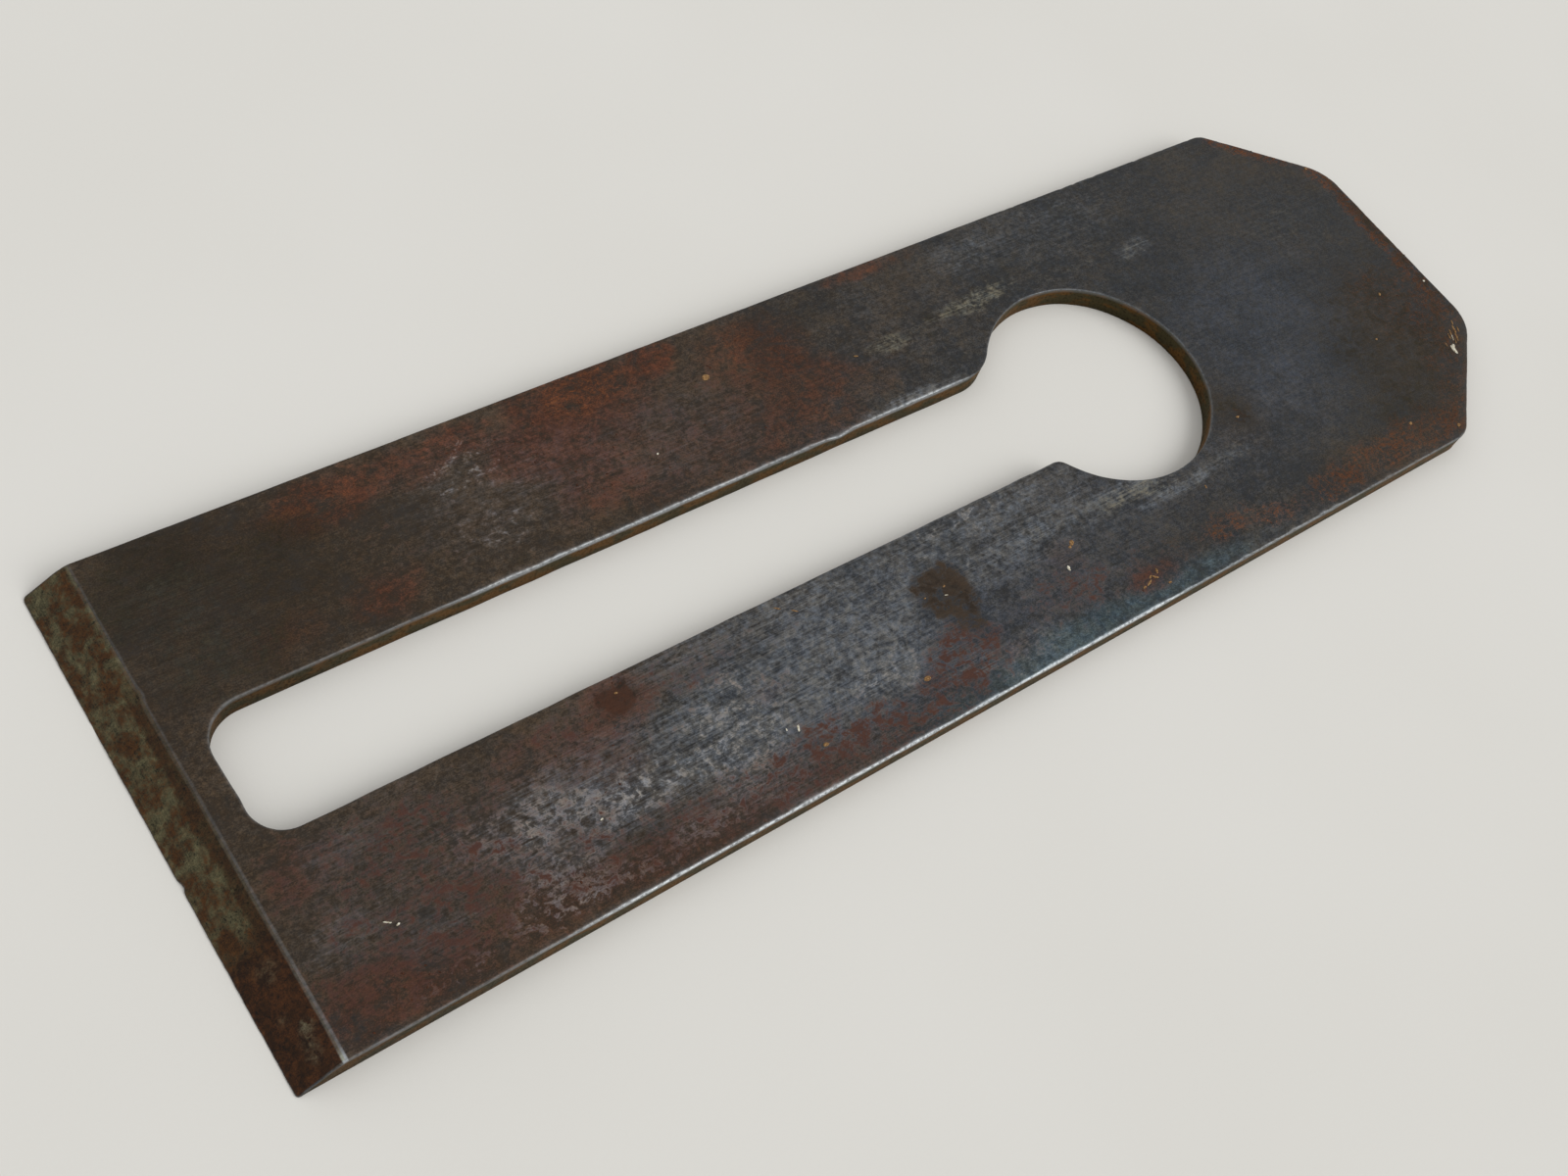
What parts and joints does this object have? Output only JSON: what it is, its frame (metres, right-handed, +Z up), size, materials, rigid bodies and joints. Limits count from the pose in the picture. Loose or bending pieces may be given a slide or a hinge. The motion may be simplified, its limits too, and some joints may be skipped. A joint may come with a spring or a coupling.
{
  "type": "plane iron",
  "caption": "Flat steel cutter for a wooden bench plane, with clipped head corners, a keyhole slot for a cap iron screw and a ground bevel at one end.",
  "frame": {"origin": "on the flat back, at the middle of the blade's length and width", "axes": "+X along the blade from the cutting edge to the head, +Y across it, +Z up out of the bevel side's face"},
  "size_m": [0.1926, 0.0604, 0.0032],
  "materials": {
    "tool_steel": "dark patina with brown rust, arrises worn bright"
  },
  "bodies": {
    "root": {"plane_iron": "tool_steel"}
  },
  "joints": []
}
